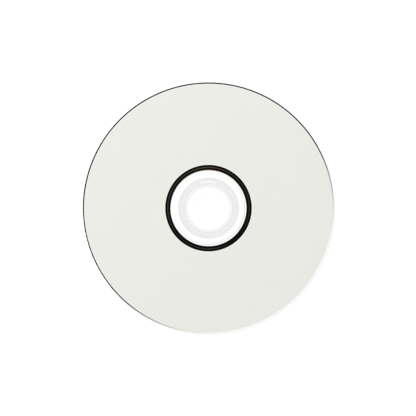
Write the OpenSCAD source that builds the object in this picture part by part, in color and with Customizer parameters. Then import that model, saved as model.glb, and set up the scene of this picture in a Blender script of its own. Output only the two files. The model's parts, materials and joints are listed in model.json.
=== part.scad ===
// Printable optical disc, lying label side up.
// A clear moulded disc carries a metal film on its upper face, and a matt white coat covers most of the film.
// Origin: centre of the hole, at the level of the surface that the disc rests on. Z is the disc's axis.

/* [Disc] */
// Diameter of the disc
disc_d = 120; // [100:0.5:130]
// Thickness of the moulded plate between its two flat faces
plate_t = 1.15; // [1:0.05:1.5]
// Diameter of the centre hole
hole_d = 15; // [14:0.05:17]
// Width of the bevel at each end of the centre hole
hole_bevel = 0.15; // [0.05:0.05:0.3]

/* [Rim] */
// Width of the sloped rim outside the upper face
rim_w = 0.65; // [0.5:0.05:1.2]
// Slope of the rim, in degrees below the upper face
rim_slope = 14; // [6:1:24]
// Radius of the rounded edge under the slope
rim_round = 0.15; // [0.1:0.05:0.35]
// Radius of the rounded edge around the lower face
foot_round = 0.2; // [0.05:0.05:0.3]

/* [Hub, upper side] */
// Distance from the wall of the hole to the middle of the ejector's witness ring
witness_gap = 2.9; // [1.5:0.1:4]
// Width of the witness ring
witness_w = 0.24; // [0.1:0.02:0.4]
// Depth of the witness ring
witness_depth = 0.06; // [0.02:0.01:0.12]
// Distance from the middle of the witness ring to the frosted band
band_gap = 0.8; // [0.3:0.1:2]
// Width of the frosted band
band_w = 3.35; // [2.4:0.05:5]
// Height of the frosted band above the polished face around it
band_h = 0.02; // [0.01:0.005:0.05]
// Distance from the middle of the frosted band's outer edge to the middle of the stamper holder's groove
groove_gap = 2.75; // [1.2:0.05:4]
// Width of the holder's groove
groove_w = 0.5; // [0.2:0.05:0.8]
// Depth of the holder's groove
groove_depth = 0.1; // [0.04:0.02:0.2]

/* [Smoother windows in the frosted band] */
// Distance from the band's inner edge to the windows
window_inset = 0.75; // [0.2:0.05:1]
// Length of a window along the radius
window_l = 1.4; // [0.8:0.1:1.4]
// Width of a short window
window_w = 0.6; // [0.3:0.05:0.8]
// Number of short windows
window_count = 26; // [8:1:32]
// Length of the long window at the top, along its middle
bar_l = 7.7; // [2:0.1:12]

/* [Stacking ring, lower side] */
// Width of the stacking ring where it leaves the plate
stack_w = 1.6; // [1.2:0.1:2.2]
// Width of the flat land that the disc rests on
stack_land = 1; // [0.6:0.1:1.1]
// Height of the stacking ring
stack_h = 0.2; // [0.1:0.05:0.3]

/* [Film and coat] */
// Distance from the middle of the holder's groove to the film
film_gap = 0.95; // [0.5:0.05:3]
// Thickness of the metal film with its clear lacquer
film_t = 0.02; // [0.01:0.005:0.05]
// Width of the slope left bare outside the film
film_margin = 0.05; // [0.03:0.01:0.15]
// Width of the mirror ring that the coat leaves bare
mirror_w = 2.35; // [0.5:0.05:8]
// Thickness of the white coat
coat_t = 0.03; // [0.02:0.005:0.08]
// Distance from the coat's outer edge to the start of the sloped rim
coat_setback = 0.02; // [0.02:0.01:0.5]

/* [Hidden] */
$fn = 180;

disc_r = disc_d / 2;
hole_r = hole_d / 2;

// Levels, from the surface that the disc rests on
lower_z = stack_h;
upper_z = lower_z + plate_t;
film_z = upper_z + film_t;
coat_z = film_z + coat_t;

// Radii, outwards from the hole
witness_r = hole_r + witness_gap;
band_in_r = witness_r + band_gap;
band_out_r = band_in_r + band_w;
groove_r = band_out_r + groove_gap;
film_in_r = groove_r + film_gap;
coat_in_r = film_in_r + mirror_w;

// The sloped rim runs down from the upper face and meets the rounded edge at a tangent
slope_in_r = disc_r - rim_w;
slope_out_r = disc_r - rim_round * (1 - sin(rim_slope));
round_z = slope_z(slope_out_r) - rim_round * cos(rim_slope);
film_out_r = slope_out_r - film_margin;
coat_out_r = slope_in_r - coat_setback;

// The windows share out the circle that the long one leaves
window_mid_r = band_in_r + window_inset + window_l / 2;
bar_half_angle = bar_l / window_mid_r / 2 * 180 / PI;
window_pitch = (360 - 2 * bar_half_angle) / (window_count + 1);

// Reach of a cut past the face that it starts from
past = 1;

// Level of the sloped rim at a radius
function slope_z(r) = upper_z - (r - slope_in_r) * tan(rim_slope);

// Groove in the upper face: a flat floor half as wide as the mouth
module groove_section(mid_r, w, depth) {
    polygon([
        [mid_r - w / 2, upper_z],
        [mid_r - w / 4, upper_z - depth],
        [mid_r + w / 4, upper_z - depth],
        [mid_r + w / 2, upper_z],
        [mid_r + w / 2, upper_z + past],
        [mid_r - w / 2, upper_z + past]
    ]);
}

// Raised ring under the plate, with a flat land and sloped flanks
module stack_section() {
    polygon([
        [groove_r - stack_w / 2, lower_z],
        [groove_r - stack_land / 2, 0],
        [groove_r + stack_land / 2, 0],
        [groove_r + stack_w / 2, lower_z],
        [groove_r + stack_w / 2, lower_z + plate_t / 2],
        [groove_r - stack_w / 2, lower_z + plate_t / 2]
    ]);
}

// Bevels at the two ends of the hole
module hole_bevel_section() {
    polygon([
        [hole_r - past, lower_z - past],
        [hole_r + hole_bevel + past, lower_z - past],
        [hole_r - past, lower_z + hole_bevel + past]
    ]);
    polygon([
        [hole_r - past, upper_z + past],
        [hole_r + hole_bevel + past, upper_z + past],
        [hole_r - past, upper_z - hole_bevel - past]
    ]);
}

// Everything above the sloped rim
module slope_section() {
    polygon([
        [slope_in_r, upper_z],
        [disc_r + past, slope_z(disc_r + past)],
        [disc_r + past, upper_z + past],
        [slope_in_r, upper_z + past]
    ]);
}

// Corner outside the rounded edge under the slope
module rim_corner_section() {
    difference() {
        polygon([
            [disc_r - rim_round, round_z],
            [slope_out_r, slope_z(slope_out_r)],
            [disc_r + past, slope_z(slope_out_r)],
            [disc_r + past, round_z]
        ]);
        translate([disc_r - rim_round, round_z])
            circle(rim_round);
    }
}

// Corner outside the rounded edge around the lower face
module foot_corner_section() {
    difference() {
        translate([disc_r - foot_round, lower_z - past])
            square([foot_round + past, foot_round + past]);
        translate([disc_r - foot_round, lower_z + foot_round])
            circle(foot_round);
    }
}

module substrate_section() {
    difference() {
        union() {
            translate([hole_r, lower_z])
                square([disc_r - hole_r, plate_t]);
            translate([band_in_r, upper_z - plate_t / 2])
                square([band_w, plate_t / 2 + band_h]);
            stack_section();
        }
        hole_bevel_section();
        groove_section(witness_r, witness_w, witness_depth);
        groove_section(groove_r, groove_w, groove_depth);
        slope_section();
        rim_corner_section();
        foot_corner_section();
    }
}

// Short window with round ends, long along the radius, at the top of the disc
module short_window() {
    straight = window_l - window_w;
    translate([-window_w / 2, window_mid_r - straight / 2])
        square([window_w, straight]);
    translate([0, window_mid_r - straight / 2])
        circle(window_w / 2);
    translate([0, window_mid_r + straight / 2])
        circle(window_w / 2);
}

// Long window that follows the band, centred at the top of the disc
module long_window() {
    reach = 2 * band_out_r;
    intersection() {
        difference() {
            circle(window_mid_r + window_l / 2);
            circle(window_mid_r - window_l / 2);
        }
        polygon([
            [0, 0],
            [reach * sin(bar_half_angle), reach * cos(bar_half_angle)],
            [-reach * sin(bar_half_angle), reach * cos(bar_half_angle)]
        ]);
    }
}

// Clear disc, moulded in one piece with the rings and the frosted band of its hub
module substrate() {
    color([0.86, 0.88, 0.89, 0.45])
        difference() {
            rotate_extrude()
                substrate_section();
            translate([0, 0, upper_z])
                linear_extrude(band_h + past) {
                    long_window();
                    for (i = [1 : window_count])
                        rotate(-bar_half_angle - i * window_pitch)
                            short_window();
                }
        }
}

// Metal film, flat over the plate and bent down onto the sloped rim
module reflective_layer() {
    color([0.16, 0.15, 0.14])
        rotate_extrude()
            polygon([
                [film_in_r, upper_z],
                [slope_in_r, upper_z],
                [film_out_r, slope_z(film_out_r)],
                [film_out_r, slope_z(film_out_r) + film_t],
                [slope_in_r, film_z],
                [film_in_r, film_z]
            ]);
}

// White coat that takes print, from the mirror ring to the sloped rim
module print_coat() {
    color([0.92, 0.925, 0.9])
        rotate_extrude()
            translate([coat_in_r, film_z])
                square([coat_out_r - coat_in_r, coat_t]);
}

substrate();
reflective_layer();
print_coat();
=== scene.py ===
"""The looks of a printable optical disc that lies label side up, as seen from straight above."""

import json
import math

import bpy
from mathutils import Matrix, Vector


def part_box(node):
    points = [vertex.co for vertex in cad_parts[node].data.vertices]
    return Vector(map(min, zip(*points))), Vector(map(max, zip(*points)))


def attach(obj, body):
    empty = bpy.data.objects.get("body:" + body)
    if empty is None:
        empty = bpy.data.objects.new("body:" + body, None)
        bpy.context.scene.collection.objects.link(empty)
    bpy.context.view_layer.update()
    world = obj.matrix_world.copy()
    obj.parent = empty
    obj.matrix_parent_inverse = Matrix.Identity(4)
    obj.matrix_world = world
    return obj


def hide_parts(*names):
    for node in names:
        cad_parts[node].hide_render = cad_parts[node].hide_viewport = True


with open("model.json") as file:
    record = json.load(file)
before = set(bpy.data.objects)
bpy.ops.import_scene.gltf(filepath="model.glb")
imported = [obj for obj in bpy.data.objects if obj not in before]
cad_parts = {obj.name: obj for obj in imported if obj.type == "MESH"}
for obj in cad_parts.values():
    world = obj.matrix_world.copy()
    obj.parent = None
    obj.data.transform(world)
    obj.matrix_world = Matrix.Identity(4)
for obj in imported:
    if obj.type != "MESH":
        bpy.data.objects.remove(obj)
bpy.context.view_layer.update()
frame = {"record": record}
scene = bpy.context.scene
scene.view_settings.view_transform = "Standard"


# Clear disc
# One piece of clear polycarbonate, injection moulded against a polished tool and punched in the middle.
# The tool leaves a stacking ring below, and a witness ring, a holder's groove and a frosted band above.

mm = 0.001
_, cad_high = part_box("substrate")
disc_r = min(cad_high.x, cad_high.y) / mm
hole_r = next(m for m in frame["record"]["mounts"] if m["name"] == "centre_hole")["dims"]["r_mm"]
hole_bevel = 0.15
coat_low, coat_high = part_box("print_coat")
film_t = 0.02
upper_z = coat_low.z / mm - film_t
lower_z = 0.2

rim_w = 0.65
rim_slope = math.radians(14)
rim_round = 0.15
foot_round = 0.2
slope_in_r = disc_r - rim_w

witness_r = hole_r + 2.9
witness_w = 0.24
witness_depth = 0.06
band_w = 3.35
band_in_r = witness_r + 0.8
band_out_r = band_in_r + band_w
band_h = 0.02
groove_r = band_out_r + 2.75
groove_w = 0.5
groove_depth = 0.1
stack_w = 1.6
stack_land = 1.0

window_l = 1.4
window_w = 0.6
window_count = 26
window_mid_r = band_in_r + 0.75 + window_l / 2
bar_l = 7.7
bar_half_angle = bar_l / window_mid_r / 2

window_corner_steps = 6
bar_points = 48
cutter_h = 1.0

steps_round = 288
sharp_above = math.radians(35)
arc_step = math.radians(18)
hold = 0.012


def slope_z(r):
    """Height of the sloped rim at a radius."""
    return upper_z - (r - slope_in_r) * math.tan(rim_slope)


def rounded(corners):
    """Points of a closed outline whose corners are (radius, height, rounding).

    A rounded corner becomes an arc between two more points, which keep the shading of the straight
    stretches flat."""
    points = []
    for i, (r, z, rounding) in enumerate(corners):
        corner = Vector((r, z))
        if not rounding:
            points.append(corner)
            continue
        back = (Vector(corners[i - 1][:2]) - corner).normalized()
        ahead = (Vector(corners[(i + 1) % len(corners)][:2]) - corner).normalized()
        half = back.angle(ahead) / 2
        setback = rounding / math.tan(half)
        centre = corner + (back + ahead).normalized() * rounding / math.sin(half)
        spoke = corner + back * setback - centre
        sweep = math.copysign(math.pi - 2 * half, back.cross(ahead) * -1)
        count = max(1, round(abs(sweep) / arc_step))
        points.append(corner + back * (setback + hold))
        for k in range(count + 1):
            points.append(centre + Matrix.Rotation(sweep * k / count, 2) @ spoke)
        points.append(corner + ahead * (setback + hold))
    return points


class Wire:
    """A node's output. Plain maths on it adds Math nodes to its tree."""

    def __init__(self, bench, socket):
        self.bench = bench
        self.socket = socket

    def math(self, operation, *others):
        """A Math node on this wire and on more wires or numbers."""
        values = dict(enumerate((self, *others)))
        return self.bench.node("ShaderNodeMath", {"operation": operation}, values)

    def __add__(self, other):
        return self.math("ADD", other)

    def __sub__(self, other):
        return self.math("SUBTRACT", other)

    def __rsub__(self, other):
        return (self * -1) + other

    def __mul__(self, other):
        return self.math("MULTIPLY", other)

    __rmul__ = __mul__

    def __gt__(self, other):
        return self.math("GREATER_THAN", other)

    def __lt__(self, other):
        return self.math("LESS_THAN", other)


class Bench:
    """A node tree that is being built, for a material, the world or geometry."""

    def __init__(self, tree):
        self.tree = tree

    def node(self, kind, settings=None, sockets=None, out=0):
        """Adds a node with its settings and its inputs' values or wires, and gives one of its outputs."""
        made = self.tree.nodes.new(kind)
        for name, value in (settings or {}).items():
            setattr(made, name, value)
        for name, value in (sockets or {}).items():
            for each in value if isinstance(value, list) else [value]:
                if isinstance(each, Wire):
                    self.tree.links.new(each.socket, made.inputs[name])
                else:
                    made.inputs[name].default_value = each
        return Wire(self, made.outputs[out]) if made.outputs else None


def new_material(name):
    """A material with an empty tree, and the bench to build it on."""
    material = bpy.data.materials.new(name)
    material.use_nodes = True
    material.node_tree.nodes.clear()
    return material, Bench(material.node_tree)


def parted(bench, vector):
    """The x, y and z of a vector."""
    return [bench.node("ShaderNodeSeparateXYZ", sockets={0: vector}, out=i) for i in range(3)]


def polar(bench):
    """(radius, turn in radians from +Y, height) on the object, with its lengths in millimetres."""
    place = bench.node("ShaderNodeTexCoord", out="Object")
    x, y, z = (part * (1 / mm) for part in parted(bench, place))
    radius = (x * x + y * y).math("SQRT")
    return radius, x.math("ARCTAN2", y), z


def ease(bench, value, start, end, low=0.0, high=1.0):
    """Goes smoothly from low to high as value goes from start to end."""
    return bench.node(
        "ShaderNodeMapRange",
        {"interpolation_type": "SMOOTHSTEP"},
        {"Value": value, "From Min": start, "From Max": end, "To Min": low, "To Max": high},
    )


def mixed(bench, share, first, second):
    """A colour between two."""
    return bench.node("ShaderNodeMix", {"data_type": "RGBA"}, {0: share, 6: first, 7: second}, out=2)


def noise(bench, scale, detail=2.0, seed=0.0):
    """Noise from 0 to 1 on the object's own coordinates. Scale is in cells a metre."""
    place = bench.node("ShaderNodeTexCoord", out="Object")
    place = bench.node("ShaderNodeMapping", sockets={"Vector": place, "Location": (seed, seed, seed)})
    return bench.node("ShaderNodeTexNoise", sockets={"Vector": place, "Scale": scale, "Detail": detail})


def bump(bench, height, strength, distance, normal=None):
    """A Bump node over another one's normal."""
    sockets = {"Height": height, "Strength": strength, "Distance": distance}
    if normal:
        sockets["Normal"] = normal
    return bench.node("ShaderNodeBump", sockets=sockets)


def principled(bench, sockets):
    """Ends a material in one Principled shader."""
    shader = bench.node("ShaderNodeBsdfPrincipled", sockets=sockets)
    bench.node("ShaderNodeOutputMaterial", sockets={"Surface": shader})


def geometry_bench(name, inputs):
    """Starts a tree with named inputs: gives its bench, its inputs by name, and what ends the tree."""
    tree = bpy.data.node_groups.new(name, "GeometryNodeTree")
    tree.is_modifier = True
    for label, kind in {"Geometry": "NodeSocketGeometry", **inputs}.items():
        tree.interface.new_socket(label, in_out="INPUT", socket_type=kind)
    tree.interface.new_socket("Geometry", in_out="OUTPUT", socket_type="NodeSocketGeometry")
    bench = Bench(tree)
    entry = tree.nodes.new("NodeGroupInput")
    wires = {label: Wire(bench, entry.outputs[label]) for label in ["Geometry", *inputs]}

    def end(geometry, material):
        geometry = bench.node("GeometryNodeRealizeInstances", sockets={0: geometry})
        geometry = bench.node(
            "GeometryNodeSetMaterial", sockets={"Geometry": geometry, "Material": material}
        )
        bench.node("NodeGroupOutput", sockets={0: geometry})

    return bench, wires, end


def add_tree(piece, tree, values):
    """Puts a tree on a piece as a modifier and sets its inputs by their sockets' identifiers."""
    modifier = piece.modifiers.new(tree.name, "NODES")
    modifier.node_group = tree
    for item in tree.interface.items_tree:
        if item.item_type == "SOCKET" and item.in_out == "INPUT" and item.name in values:
            modifier[item.identifier] = values[item.name]


def made_plain(piece):
    """Turns what a piece's trees make into its own plain mesh."""
    bpy.context.view_layer.update()
    seen = piece.evaluated_get(bpy.context.evaluated_depsgraph_get())
    mesh = bpy.data.meshes.new_from_object(seen)
    piece.modifiers.clear()
    piece.data = mesh
    mesh.name = piece.name
    return piece


def creased(bench, geometry, sharp_above):
    """Shades a mesh smooth, except across edges that bend by more than an angle."""
    angle = bench.node("GeometryNodeInputMeshEdgeAngle")
    geometry = bench.node(
        "GeometryNodeSetShadeSmooth", {"domain": "FACE"}, {"Geometry": geometry, "Shade Smooth": True}
    )
    return bench.node(
        "GeometryNodeSetShadeSmooth",
        {"domain": "EDGE"},
        {"Geometry": geometry, "Selection": angle > sharp_above, "Shade Smooth": False},
    )


def turning_tree():
    """Turns a section, drawn as edges in the XZ plane, about the Z axis."""
    bench, given, end = geometry_bench(
        "turn_section",
        {
            "Guide radius": "NodeSocketFloat",
            "Steps round": "NodeSocketInt",
            "Sharp above": "NodeSocketFloat",
            "Material": "NodeSocketMaterial",
        },
    )
    section = bench.node("GeometryNodeMeshToCurve", sockets={0: given["Geometry"]})
    place = bench.node("GeometryNodeInputPosition")
    x, _, z = parted(bench, place)
    flat = bench.node("ShaderNodeCombineXYZ", sockets={0: x - given["Guide radius"], 1: z * -1})
    section = bench.node("GeometryNodeSetPosition", sockets={"Geometry": section, "Position": flat})
    section = bench.node("GeometryNodeReverseCurve", sockets={0: section})
    guide = bench.node(
        "GeometryNodeCurvePrimitiveCircle",
        {"mode": "RADIUS"},
        {"Resolution": given["Steps round"], "Radius": given["Guide radius"]},
    )
    turned = bench.node("GeometryNodeCurveToMesh", sockets={"Curve": guide, "Profile Curve": section})
    end(creased(bench, turned, given["Sharp above"]), given["Material"])
    return bench.tree


turn_section = turning_tree()


def turned_piece(name, outline, material):
    """A piece made by turning an outline, in millimetres, about the disc's axis."""
    mesh = bpy.data.meshes.new(name)
    count = len(outline)
    edges = [(i, (i + 1) % count) for i in range(count)]
    mesh.from_pydata([(r * mm, 0, z * mm) for r, z in outline], edges, [])
    piece = bpy.data.objects.new(name, mesh)
    scene.collection.objects.link(piece)
    guide_radius = (outline[0][0] + disc_r) / 2 * mm
    add_tree(
        piece,
        turn_section,
        {
            "Guide radius": guide_radius,
            "Steps round": steps_round,
            "Sharp above": sharp_above,
            "Material": material,
        },
    )
    return piece


def window_tree():
    """Cuts the smoother windows into the frosted band: short ones all round, and a long one at the top."""
    bench, given, end = geometry_bench(
        "cut_windows",
        {
            "Middle radius": "NodeSocketFloat",
            "Length": "NodeSocketFloat",
            "Width": "NodeSocketFloat",
            "Count": "NodeSocketInt",
            "Half angle of the long one": "NodeSocketFloat",
            "Floor height": "NodeSocketFloat",
            "Cutter height": "NodeSocketFloat",
            "Sharp above": "NodeSocketFloat",
            "Material": "NodeSocketMaterial",
        },
    )
    middle, half_angle = given["Middle radius"], given["Half angle of the long one"]
    outline = bench.node(
        "GeometryNodeCurvePrimitiveQuadrilateral",
        sockets={"Width": given["Length"], "Height": given["Width"]},
    )
    outline = bench.node(
        "GeometryNodeFilletCurve",
        {"mode": "POLY"},
        {0: outline, "Count": window_corner_steps, "Radius": given["Width"] * 0.499},
    )
    up = bench.node("ShaderNodeCombineXYZ", sockets={2: given["Cutter height"]})
    rise = bench.node("GeometryNodeCurvePrimitiveLine", sockets={"End": up})
    cutter = bench.node(
        "GeometryNodeCurveToMesh", sockets={"Curve": rise, "Profile Curve": outline, "Fill Caps": True}
    )
    pitch = (2 * math.pi - 2 * half_angle) * (given["Count"] + 1).math("POWER", -1)
    turn = half_angle + (bench.node("GeometryNodeInputIndex") + 1) * pitch
    spot = bench.node(
        "ShaderNodeCombineXYZ",
        sockets={
            0: turn.math("SINE") * middle * -1,
            1: turn.math("COSINE") * middle,
            2: given["Floor height"],
        },
    )
    spots = bench.node("GeometryNodePoints", sockets={"Count": given["Count"], "Position": spot})
    facing = bench.node("ShaderNodeCombineXYZ", sockets={2: turn})
    short_ones = bench.node(
        "GeometryNodeInstanceOnPoints",
        sockets={"Points": spots, "Instance": cutter, "Rotation": facing},
    )
    short_ones = bench.node("GeometryNodeRealizeInstances", sockets={0: short_ones})
    arc = bench.node(
        "GeometryNodeCurveArc",
        {"mode": "RADIUS"},
        {
            "Resolution": bar_points,
            "Radius": middle,
            "Start Angle": math.pi / 2 - half_angle,
            "Sweep Angle": half_angle * 2,
        },
    )
    wall = bench.node(
        "GeometryNodeCurvePrimitiveQuadrilateral",
        sockets={"Width": given["Length"], "Height": given["Cutter height"]},
    )
    long_one = bench.node(
        "GeometryNodeCurveToMesh", sockets={"Curve": arc, "Profile Curve": wall, "Fill Caps": True}
    )
    lift = bench.node(
        "ShaderNodeCombineXYZ", sockets={2: given["Floor height"] + given["Cutter height"] * 0.5}
    )
    long_one = bench.node("GeometryNodeTransform", sockets={"Geometry": long_one, "Translation": lift})
    cut = bench.node(
        "GeometryNodeMeshBoolean",
        {"operation": "DIFFERENCE", "solver": "EXACT"},
        {"Mesh 1": given["Geometry"], "Mesh 2": [short_ones, long_one]},
    )
    end(creased(bench, cut, given["Sharp above"]), given["Material"])
    return bench.tree


def ring_mask(bench, radius, middle, half_width, soft):
    """1 on a ring and 0 off it, with soft edges."""
    off_middle = (radius - middle).math("ABSOLUTE")
    return ease(bench, off_middle, half_width - soft / 2, half_width + soft / 2, 1.0, 0.0)


def clear_plastic():
    """Clear polycarbonate: frosted on the raised band, satin in its windows and on the outer wall,
    and dull where the rings of the tool met. These rings are also greyed by painted shade, deeper on
    one side of each ring."""
    material, bench = new_material("clear_polycarbonate")
    radius, turn, height = polar(bench)
    upper = ease(bench, height, upper_z - groove_depth - 0.05, upper_z - groove_depth - 0.02)
    band = ease(bench, height, upper_z + band_h * 0.3, upper_z + band_h * 0.7)
    satin = upper * ring_mask(bench, radius, band_in_r + band_w / 2, band_w / 2, 0.08)
    edges = upper * (
        ring_mask(bench, radius, band_in_r + 0.2, 0.3, 0.2)
        + ring_mask(bench, radius, band_out_r - 0.2, 0.3, 0.2)
    )
    # Painted shade: the witness ring, the land beside it and the holder's groove are greyed, deeper on one
    # side of each ring.
    witness_shade_side = (turn + 0.6).math("COSINE") * 0.3 + 0.6
    witness = upper * ring_mask(bench, radius, witness_r, 0.12, 0.1) * witness_shade_side
    sleeve = upper * ring_mask(bench, radius, (witness_r + band_in_r) / 2, 0.55, 0.4) * 0.22
    holder_shade_side = (turn - 2.3).math("COSINE") * 0.5 + 0.5
    holder = upper * ring_mask(bench, radius, groove_r, 0.22, 0.12) * holder_shade_side
    dull_and_shade = (witness + sleeve + holder).math("MINIMUM", 1.0)
    frost = satin * 0.6 + band * 0.4
    wall = ease(bench, radius, disc_r - 0.05, disc_r - 0.01) * ease(
        bench, height, upper_z - rim_round * 2, upper_z - rim_round, 1.0, 0.0
    )
    grain = noise(bench, 9000, 3.0)
    cloud = noise(bench, 140, 2.0, seed=3.0)
    colour = mixed(bench, frost, (0.985, 0.988, 0.982, 1), (0.71, 0.715, 0.695, 1))
    colour = mixed(bench, edges * frost * 0.4, colour, (0.66, 0.66, 0.64, 1))
    # Painted shade: grey on the rings of the tool.
    colour = mixed(bench, dull_and_shade, colour, (0.52, 0.52, 0.50, 1))
    roughness = ease(bench, cloud, 0.3, 0.7, 0.015, 0.035) + (frost + dull_and_shade * 0.4 + wall * 1.4) * (
        grain * 0.12 + 0.3
    )
    ripple = bump(bench, cloud, 0.05, 0.00002)
    normal = bump(bench, grain * frost, 0.35, 0.00002, ripple)
    principled(
        bench,
        {
            "Base Color": colour,
            "Roughness": roughness,
            "Normal": normal,
            "IOR": 1.58,
            "Transmission Weight": 1.0,
        },
    )
    return material


def groove_corners(mid_r, width, depth, rounding):
    """Corners of a groove in the upper face, from its outer lip to its inner one."""
    floor_z = upper_z - depth
    return [
        (mid_r + width / 2, upper_z, rounding),
        (mid_r + width / 4, floor_z, rounding),
        (mid_r - width / 4, floor_z, rounding),
        (mid_r - width / 2, upper_z, rounding),
    ]


band_z = upper_z + band_h
substrate_outline = rounded(
    [
        (hole_r, lower_z + hole_bevel, 0.04),
        (hole_r + hole_bevel, lower_z, 0.04),
        (groove_r - stack_w / 2, lower_z, 0.1),
        (groove_r - stack_land / 2, 0, 0.1),
        (groove_r + stack_land / 2, 0, 0.1),
        (groove_r + stack_w / 2, lower_z, 0.1),
        (disc_r, lower_z, foot_round),
        (disc_r, slope_z(disc_r), rim_round),
        (slope_in_r, upper_z, 0.2),
        *groove_corners(groove_r, groove_w, groove_depth, 0.04),
        (band_out_r, upper_z, 0.006),
        (band_out_r, band_z, 0.006),
        (band_in_r, band_z, 0.006),
        (band_in_r, upper_z, 0.006),
        *groove_corners(witness_r, witness_w, witness_depth, 0.02),
        (hole_r + hole_bevel, upper_z, 0.04),
        (hole_r, upper_z - hole_bevel, 0.04),
    ]
)
clear_material = clear_plastic()
clear_disc = turned_piece("clear_disc", substrate_outline, clear_material)
add_tree(
    clear_disc,
    window_tree(),
    {
        "Middle radius": window_mid_r * mm,
        "Length": window_l * mm,
        "Width": window_w * mm,
        "Count": window_count,
        "Half angle of the long one": bar_half_angle,
        "Floor height": upper_z * mm,
        "Cutter height": cutter_h * mm,
        "Sharp above": sharp_above,
        "Material": clear_material,
    },
)
made_plain(clear_disc)
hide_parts("substrate")
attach(clear_disc, "root")


# Mirror film
# Sputtered metal under clear lacquer, far thinner than paper. It starts outside the clear hub and is
# bent down onto the sloped rim. From the label side it is a dark mirror, its ring painted near black
# as a dark reflection with a paler painted reflection round the hub, and from below it shines silver
# through the plastic and a pale dye, under a painted diffraction rainbow.

silver = (0.92, 0.92, 0.91, 1)
film_in_r = groove_r + 0.95
film_out_r = disc_r - rim_round * (1 - math.sin(rim_slope)) - 0.05
coat_in_r = film_in_r + 2.35
seat = 0.003
dye_in_r = 22.6
dye_out_r = 58.8


def label_side_mirror():
    """The film's upper face: a dark mirror painted near black as a reflection, with a paler painted
    reflection round the hub, and bare metal on the rim.
    """
    material, bench = new_material("mirror_film_label_side")
    radius, turn, _ = polar(bench)
    smear = noise(bench, 260, 2.0, seed=5.0)
    ring_mid_r = (film_in_r + coat_in_r) / 2
    # The paler painted reflection round the hub, in lobes round it and warmer to one side.
    painted_reflection = ease(bench, (radius - ring_mid_r).math("ABSOLUTE"), 0.0, 0.42, 1.0, 0.0)
    around = (
        (turn + 0.33).math("COSINE") * 0.52
        + (turn * 2).math("COSINE") * 0.17
        + (turn * 4).math("COSINE") * 0.37
    )
    painted_reflection = painted_reflection * (around * 0.45 + 0.5)
    warm = (turn - 0.6).math("COSINE") * 0.5 + 0.5
    tint = mixed(bench, warm, (0.66, 0.66, 0.60, 1), (0.72, 0.50, 0.36, 1))
    # Painted reflection: the ring's silver is painted near black as a dark reflection.
    ring = mixed(bench, painted_reflection, (0.02, 0.018, 0.015, 1), tint)
    colour = mixed(bench, ease(bench, radius, slope_in_r - 0.6, slope_in_r - 0.4), ring, silver)
    principled(
        bench,
        {"Base Color": colour, "Metallic": 1.0, "Roughness": ease(bench, smear, 0.3, 0.7, 0.04, 0.09)},
    )
    return material


def data_side_mirror():
    """The film's lower face: silver, with a pale dye from the start of the data outwards, and a painted
    diffraction rainbow in two fans over the dye.
    """
    material, bench = new_material("mirror_film_data_side")
    radius, turn, _ = polar(bench)
    dye = ease(bench, radius, dye_in_r - 0.05, dye_in_r + 0.05) * ease(
        bench, radius, dye_out_r - 0.1, dye_out_r + 0.1, 1.0, 0.0
    )
    metal = mixed(bench, dye, silver, (0.70, 0.79, 0.76, 1))
    # Painted reflection: a diffraction rainbow in two fixed fans, which a real disc shows only by the
    # light.
    painted_fans = ease(bench, (turn * 2 - 1.1).math("COSINE"), 0.35, 1.0)
    hue = (radius * 0.035 + turn * 0.9).math("FRACT")
    painted_rainbow = bench.node("ShaderNodeCombineColor", {"mode": "HSV"}, {0: hue, 1: painted_fans * 0.4, 2: 0.95})
    colour = mixed(bench, dye * painted_fans * 0.7, metal, painted_rainbow)
    principled(
        bench,
        {
            "Base Color": colour,
            "Metallic": 1.0,
            "Roughness": ease(bench, dye, 0.0, 1.0, 0.1, 0.36),
            "Anisotropic": 0.95,
        },
    )
    return material


def two_faced_tree():
    """Gives the faces that look down another material."""
    bench, given, _ = geometry_bench(
        "two_faces", {"Label side": "NodeSocketMaterial", "Data side": "NodeSocketMaterial"}
    )
    normal = bench.node("GeometryNodeInputNormal")
    up = bench.node("ShaderNodeSeparateXYZ", sockets={0: normal}, out=2)
    sided = bench.node("GeometryNodeRealizeInstances", sockets={0: given["Geometry"]})
    sided = bench.node(
        "GeometryNodeSetMaterial", sockets={"Geometry": sided, "Material": given["Label side"]}
    )
    sided = bench.node(
        "GeometryNodeSetMaterial",
        sockets={"Geometry": sided, "Selection": up < -0.1, "Material": given["Data side"]},
    )
    bench.node("NodeGroupOutput", sockets={0: sided})
    return bench.tree


film_outline = rounded(
    [
        (film_in_r, upper_z - seat, 0),
        (slope_in_r, upper_z - seat, 0.2),
        (film_out_r, slope_z(film_out_r) - seat, 0),
        (film_out_r, slope_z(film_out_r) + film_t, 0),
        (slope_in_r, upper_z + film_t, 0.2),
        (film_in_r, upper_z + film_t, 0),
    ]
)
label_side = label_side_mirror()
mirror_film = turned_piece("mirror_film", film_outline, label_side)
add_tree(mirror_film, two_faced_tree(), {"Label side": label_side, "Data side": data_side_mirror()})
made_plain(mirror_film)
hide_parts("reflective_layer")
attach(mirror_film, "root")


# White coat
# A matt ink-receptive coat, screen printed over the film in two passes and dried. It is finely porous,
# and its edges are the soft lips of the print.

coat_out_r = min(coat_high.x, coat_high.y) / mm
coat_z = coat_high.z / mm
lip = 0.008


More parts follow.
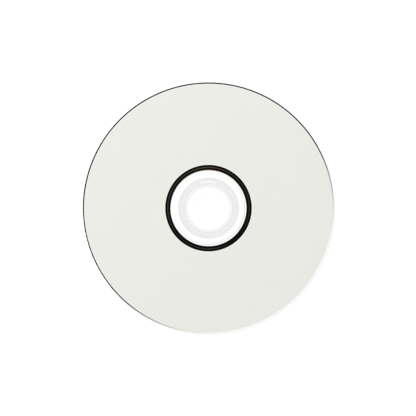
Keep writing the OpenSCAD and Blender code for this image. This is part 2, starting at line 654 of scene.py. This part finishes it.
def porous_white():
    """Matt off-white with fine pores. Its edges carry a painted highlight, the outer one only on the lit
    side, and the print thins out at the inner one, where the film's painted dark reflection is painted
    through it."""
    material, bench = new_material("white_coat")
    radius, turn, _ = polar(bench)
    pores = noise(bench, 14000, 4.0)
    mottle = noise(bench, 90, 3.0, seed=7.0)
    # Painted highlight: the coat's edges are whiter, the outer one only on the side towards the lamp.
    lit_side = (turn + 0.66).math("COSINE") * 0.5 + 0.5
    inner_edge_highlight = ease(bench, radius, coat_in_r + 0.25, coat_in_r + 0.6, 1.0, 0.0)
    outer_edge_highlight = ease(bench, radius, coat_out_r - 0.5, coat_out_r - 0.2) * lit_side
    paper = mixed(bench, mottle, (0.806, 0.816, 0.770, 1), (0.826, 0.833, 0.790, 1))
    colour = mixed(bench, (inner_edge_highlight + outer_edge_highlight) * 0.8, paper, (0.93, 0.935, 0.92, 1))
    # Where the print thins out at the inner edge, it is painted dark as the film's painted reflection.
    thin_print_and_reflection = ease(bench, radius, coat_in_r + 0.02, coat_in_r + 0.14, 0.8, 0.0)
    colour = mixed(bench, thin_print_and_reflection, colour, (0.10, 0.095, 0.085, 1))
    principled(
        bench,
        {
            "Base Color": colour,
            "Roughness": ease(bench, pores, 0.2, 0.8, 0.62, 0.78),
            "Normal": bump(bench, pores, 0.25, 0.00001),
        },
    )
    return material


coat_outline = rounded(
    [
        (coat_in_r, upper_z + film_t - seat, 0),
        (coat_out_r, upper_z + film_t - seat, 0),
        (coat_out_r, coat_z, lip),
        (coat_in_r, coat_z, lip),
    ]
)
white_coat = made_plain(turned_piece("white_coat", coat_outline, porous_white()))
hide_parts("print_coat")
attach(white_coat, "root")


# Camera
# It looks straight down on the label side, as the photograph does, from far enough away for the disc
# to stay a true circle.

photo_px = 416
px = 120 / (2 * 125.86)
disc_x_px, disc_y_px = 208.5, 208.17
lens = 100
sensor = 36
camera_data = bpy.data.cameras.new("camera")
camera_data.lens = lens
camera_data.sensor_width = sensor
camera = bpy.data.objects.new("camera", camera_data)
camera.location = (
    (photo_px / 2 - disc_x_px) * px * mm,
    (disc_y_px - photo_px / 2) * px * mm,
    (coat_z + photo_px * px * lens / sensor) * mm,
)
scene.collection.objects.link(camera)
scene.camera = camera


# Floor
# A plain white table top. It shows white to the camera and in the gloss, keeps the disc's shadow, and
# can't be seen from below.

table_glow = 0.42
hub_glow = 1.07


def white_table():
    """Matt white from above, glowing under the clear hub, and clear under the film and from below."""
    material, bench = new_material("white_table")
    path = {
        name: bench.node("ShaderNodeLightPath", out=name)
        for name in ("Is Camera Ray", "Is Glossy Ray", "Is Transmission Ray")
    }
    radius, _, _ = polar(bench)
    seen = path["Is Camera Ray"] + path["Is Glossy Ray"]
    matt = bench.node("ShaderNodeBsdfDiffuse", sockets={"Color": (0.8, 0.8, 0.8, 1)})
    glow = bench.node("ShaderNodeEmission", sockets={"Color": (1, 1, 1, 1), "Strength": seen * table_glow})
    lit = bench.node("ShaderNodeAddShader", sockets={0: matt, 1: glow})
    through = bench.node("ShaderNodeEmission", sockets={"Color": (1, 1, 1, 1), "Strength": hub_glow})
    clear = bench.node("ShaderNodeBsdfTransparent")
    past_hub = ease(bench, radius, film_in_r - 0.36, film_in_r - 0.16)
    under_film = past_hub * ease(bench, radius, disc_r - 0.05, disc_r, 1.0, 0.0)
    shown = bench.node(
        "ShaderNodeMixShader",
        sockets={0: path["Is Transmission Ray"] * (1 - past_hub), 1: lit, 2: through},
    )
    shown = bench.node(
        "ShaderNodeMixShader", sockets={0: path["Is Transmission Ray"] * under_film, 1: shown, 2: clear}
    )
    below = bench.node("ShaderNodeNewGeometry", out="Backfacing")
    shown = bench.node("ShaderNodeMixShader", sockets={0: below, 1: shown, 2: clear})
    bench.node("ShaderNodeOutputMaterial", sockets={"Surface": shown})
    return material


floor_half = 3.0
floor_mesh = bpy.data.meshes.new("table_top")
floor_corners = ((-1, -1), (1, -1), (1, 1), (-1, 1))
floor_mesh.from_pydata([(x * floor_half, y * floor_half, 0) for x, y in floor_corners], [], [(0, 1, 2, 3)])
floor_mesh.materials.append(white_table())
table_top = bpy.data.objects.new("table_top", floor_mesh)
scene.collection.objects.link(table_top)


# Light
# An even white sky, and a soft lamp at the upper left that gloss doesn't see. Gloss sees a dark patch
# overhead and to the upper left, which turns the mirror ring dark and draws the dark line on that side
# of the rim. From below it sees a dark side too, and one bright spot, which makes the data side shine.

sky_strength = 0.82
gloss_strength = 1.05
overhead_strength = 0.12
streak_strength = 3.0
lamp_strength = 3.0
lamp_place = Vector((-0.49, 0.54, 0.68))
lamp_size = 0.3
dark_turn = math.radians(128)
streak_tilt, streak_turn = math.radians(25), math.radians(20)
to_streak = Vector((math.cos(streak_turn), math.sin(streak_turn), 0)) * math.sin(streak_tilt)
to_streak.z = -math.cos(streak_tilt)

world = bpy.data.worlds.new("studio")
world.use_nodes = True
world.node_tree.nodes.clear()
sky = Bench(world.node_tree)
towards = sky.node("ShaderNodeTexCoord", out="Generated")
to_x, to_y, to_z = parted(sky, towards)
to_dark = to_x * math.cos(dark_turn) + to_y * math.sin(dark_turn)
dark = ease(sky, to_dark, -0.5, -0.05) * ease(sky, to_z, 0.25, 0.55)
overhead = ease(sky, to_z, math.cos(math.radians(20)), math.cos(math.radians(6)), 0.0, overhead_strength)
above = (1 - dark) * gloss_strength + overhead
along = to_x * to_streak.x + to_y * to_streak.y + to_z * to_streak.z
streak = ease(sky, along, math.cos(math.radians(13)), math.cos(math.radians(4)), 0.0, streak_strength)
beneath = ease(sky, to_dark, -0.05, 0.18, 0.0, gloss_strength) + streak
is_glossy = sky.node("ShaderNodeLightPath", out="Is Glossy Ray")
is_camera = sky.node("ShaderNodeLightPath", out="Is Camera Ray")
is_through = sky.node("ShaderNodeLightPath", out="Is Transmission Ray")
down = to_z < 0
seen_above = is_through + (1 - is_through) * above
gloss = down * beneath + (1 - down) * seen_above
level = is_camera + (1 - is_camera) * (is_glossy * gloss + (1 - is_glossy) * sky_strength)
background = sky.node("ShaderNodeBackground", sockets={"Color": (1, 1, 1, 1), "Strength": level})
sky.node("ShaderNodeOutputWorld", sockets={"Surface": background})
scene.world = world

lamp_data = bpy.data.lights.new("soft_lamp", "AREA")
lamp_data.shape = "SQUARE"
lamp_data.size = lamp_size
lamp_data.energy = lamp_strength
lamp = bpy.data.objects.new("soft_lamp", lamp_data)
lamp.location = lamp_place
lamp.rotation_euler = (-lamp_place).to_track_quat("-Z", "Y").to_euler()
lamp.visible_glossy = False
scene.collection.objects.link(lamp)
